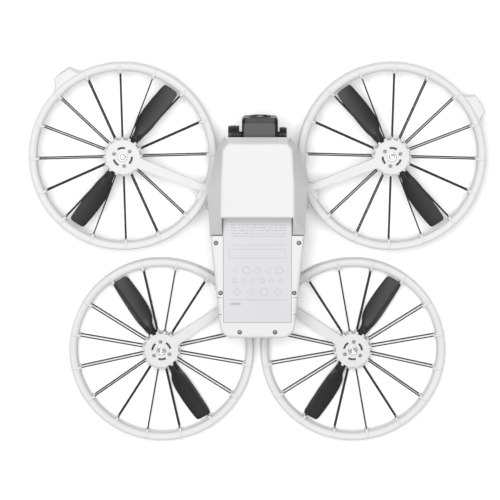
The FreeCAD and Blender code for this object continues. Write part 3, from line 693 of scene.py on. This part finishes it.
def bar(bm, corners, low, high):
    """A block between two opposite corners (x0, y0, x1, y1) and two heights, in metres."""
    x0, y0, x1, y1 = corners
    plan = [(x0, y0), (x1, y0), (x1, y1), (x0, y1)]
    loft(bm, [[Vector((x, y, z)) for x, y in plan] for z in (low, high)])


def dashes(bm, block, half, base, top):
    """Rows of short bars of uneven length."""
    rows, start, pitch, tall = block
    for row in range(rows):
        at, cursor = (start + row * pitch) * MM, -half
        while cursor < half - DASH_LEAST * MM:
            run = random.uniform(*DASH_LONG) * MM
            bar(bm, (cursor, at, min(cursor + run, half), at + tall * MM), base, top)
            cursor += run + random.uniform(*DASH_GAP) * MM


def empty_frame(bm, half, line, base, top):
    near, far = FRAME_NEAR * MM, FRAME_FAR * MM
    for y in (near, far - line):
        bar(bm, (-half, y, half, y + line), base, top)
    for x in (-half, half - line):
        bar(bm, (x, near, x + line, far), base, top)


def outlines(bm, half, line, base, top):
    """Rows of plain outlines, by turns round, square and three-sided."""
    depth, weight = top - base, line * OUTLINE_WEIGHT
    for row, size, count in OUTLINE_ROWS:
        radius = size * MM
        profile = ((radius - weight, 0), (radius, 0), (radius, depth), (radius - weight, depth))
        for index in range(count):
            x = half - (index + OUTLINE_OFFSET) * 2 * half / (count + OUTLINE_SPARE)
            sides = OUTLINE_SIDES[(index + count) % len(OUTLINE_SIDES)]
            ring(bm, Vector((x, row * MM, base)), profile, sides)


def marking_bars():
    """Faint blank marks in place of printed labels: short bars, an empty frame and plain shapes."""
    plate_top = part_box("marking_plate")[1][2]
    base, top = plate_top - MARK_RISE * MM, plate_top + MARK_RISE * MM
    half, line = MARK_HALF * MM, MARK_LINE * MM

    def build(bm):
        dashes(bm, HEADING_DASHES, half, base, top)
        dashes(bm, SUBHEADING_DASHES, half, base, top)
        empty_frame(bm, half, line, base, top)
        outlines(bm, half, line, base, top)
        dashes(bm, FOOTING_DASHES, half, base, top)
        bar(bm, [value * MM for value in LAST_BAR], base, top)
    mesh_piece("marking_bars", build, "mark_ink", "battery", smooth=False)


def battery_seam_shade():
    """Dark bars that paint the shade in the groove round the plate and in the cuts where the two buckles part the
    side rails.
    """
    low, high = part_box("marking_plate")
    battery_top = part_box("battery_case")[1][2]
    base, top = battery_top - SEAM_DEPTH * MM, battery_top + MARK_RISE * MM

    def build(bm):
        groove, cut = GROOVE_HALF * MM, CUT_HALF * MM
        for sign in (-1, 1):
            x = sign * (high[0] + groove)
            bar(bm, (x - groove, low[1], x + groove, high[1]), base, top)
            for place in CUT_PLACES:
                y, reach = place * MM, RAIL_HALF - RAIL_TAPER * place - RAIL_EDGE
                bar(bm, (sign * CUT_START * MM, y - cut, sign * reach * MM, y + cut), base, top)
        bar(bm, (low[0], high[1], high[0], high[1] + GROOVE_WIDE * MM), base, top)
    mesh_piece("battery_seam_shade", build, "seam_shadow", "battery", smooth=False)


def camera_cap():
    """A paler cap on the camera's upper face."""
    low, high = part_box("camera_housing")
    x0, x1 = low[0] + CAP_SIDE * MM, high[0] - CAP_SIDE * MM
    y0, y1 = low[1] + CAP_FRONT * MM, high[1] - CAP_REAR * MM
    corner = CAP_CORNER * MM

    def build(bm):
        loops = []
        for inset, height in ((inset * MM, high[2] + height * MM) for inset, height in CAP_LOOPS):
            left, right, front, rear = x0 + inset, x1 - inset, y0 + inset, y1 - inset
            plan = [(left + corner, front), (right - corner, front), (right, front + corner),
                    (right, rear), (left, rear), (left, front + corner)]
            loops.append([Vector((x, y, height)) for x, y in plan])
        loft(bm, loops)
        outward_faces(bm)
    soften(mesh_piece("camera_cap", build, "cap_grey", "camera", smooth=False), CAP_ROUND)


def tilt_bands():
    """Ribbed bands round the two tilt bearings."""
    pivot = joint_point("camera_tilt")
    section = [(depth, -wide) for depth, wide in BAND_SECTION] + list(reversed(BAND_SECTION))

    def build(bm):
        for place, radius in BANDS:
            rows = []
            for turn in circle_turns(BAND_STEPS):
                spoke = Vector((0, math.cos(turn), math.sin(turn))) * MM
                rows.append([bm.verts.new(Vector(((place + wide) * MM, pivot.y, pivot.z))
                                          + spoke * (radius - depth)) for depth, wide in section])
            sweep(bm, rows)
        outward_faces(bm)
    mesh_piece("tilt_bearing_bands", build, "gimbal_dark", "gimbal_roll")


def make_body():
    battery_screws()
    marking_bars()
    battery_seam_shade()
    camera_cap()
    tilt_bands()


MATERIALS = make_materials()
add_camera()
add_floor()
add_sky()
add_key_light()
dress_cad()
make_discs()
make_body()
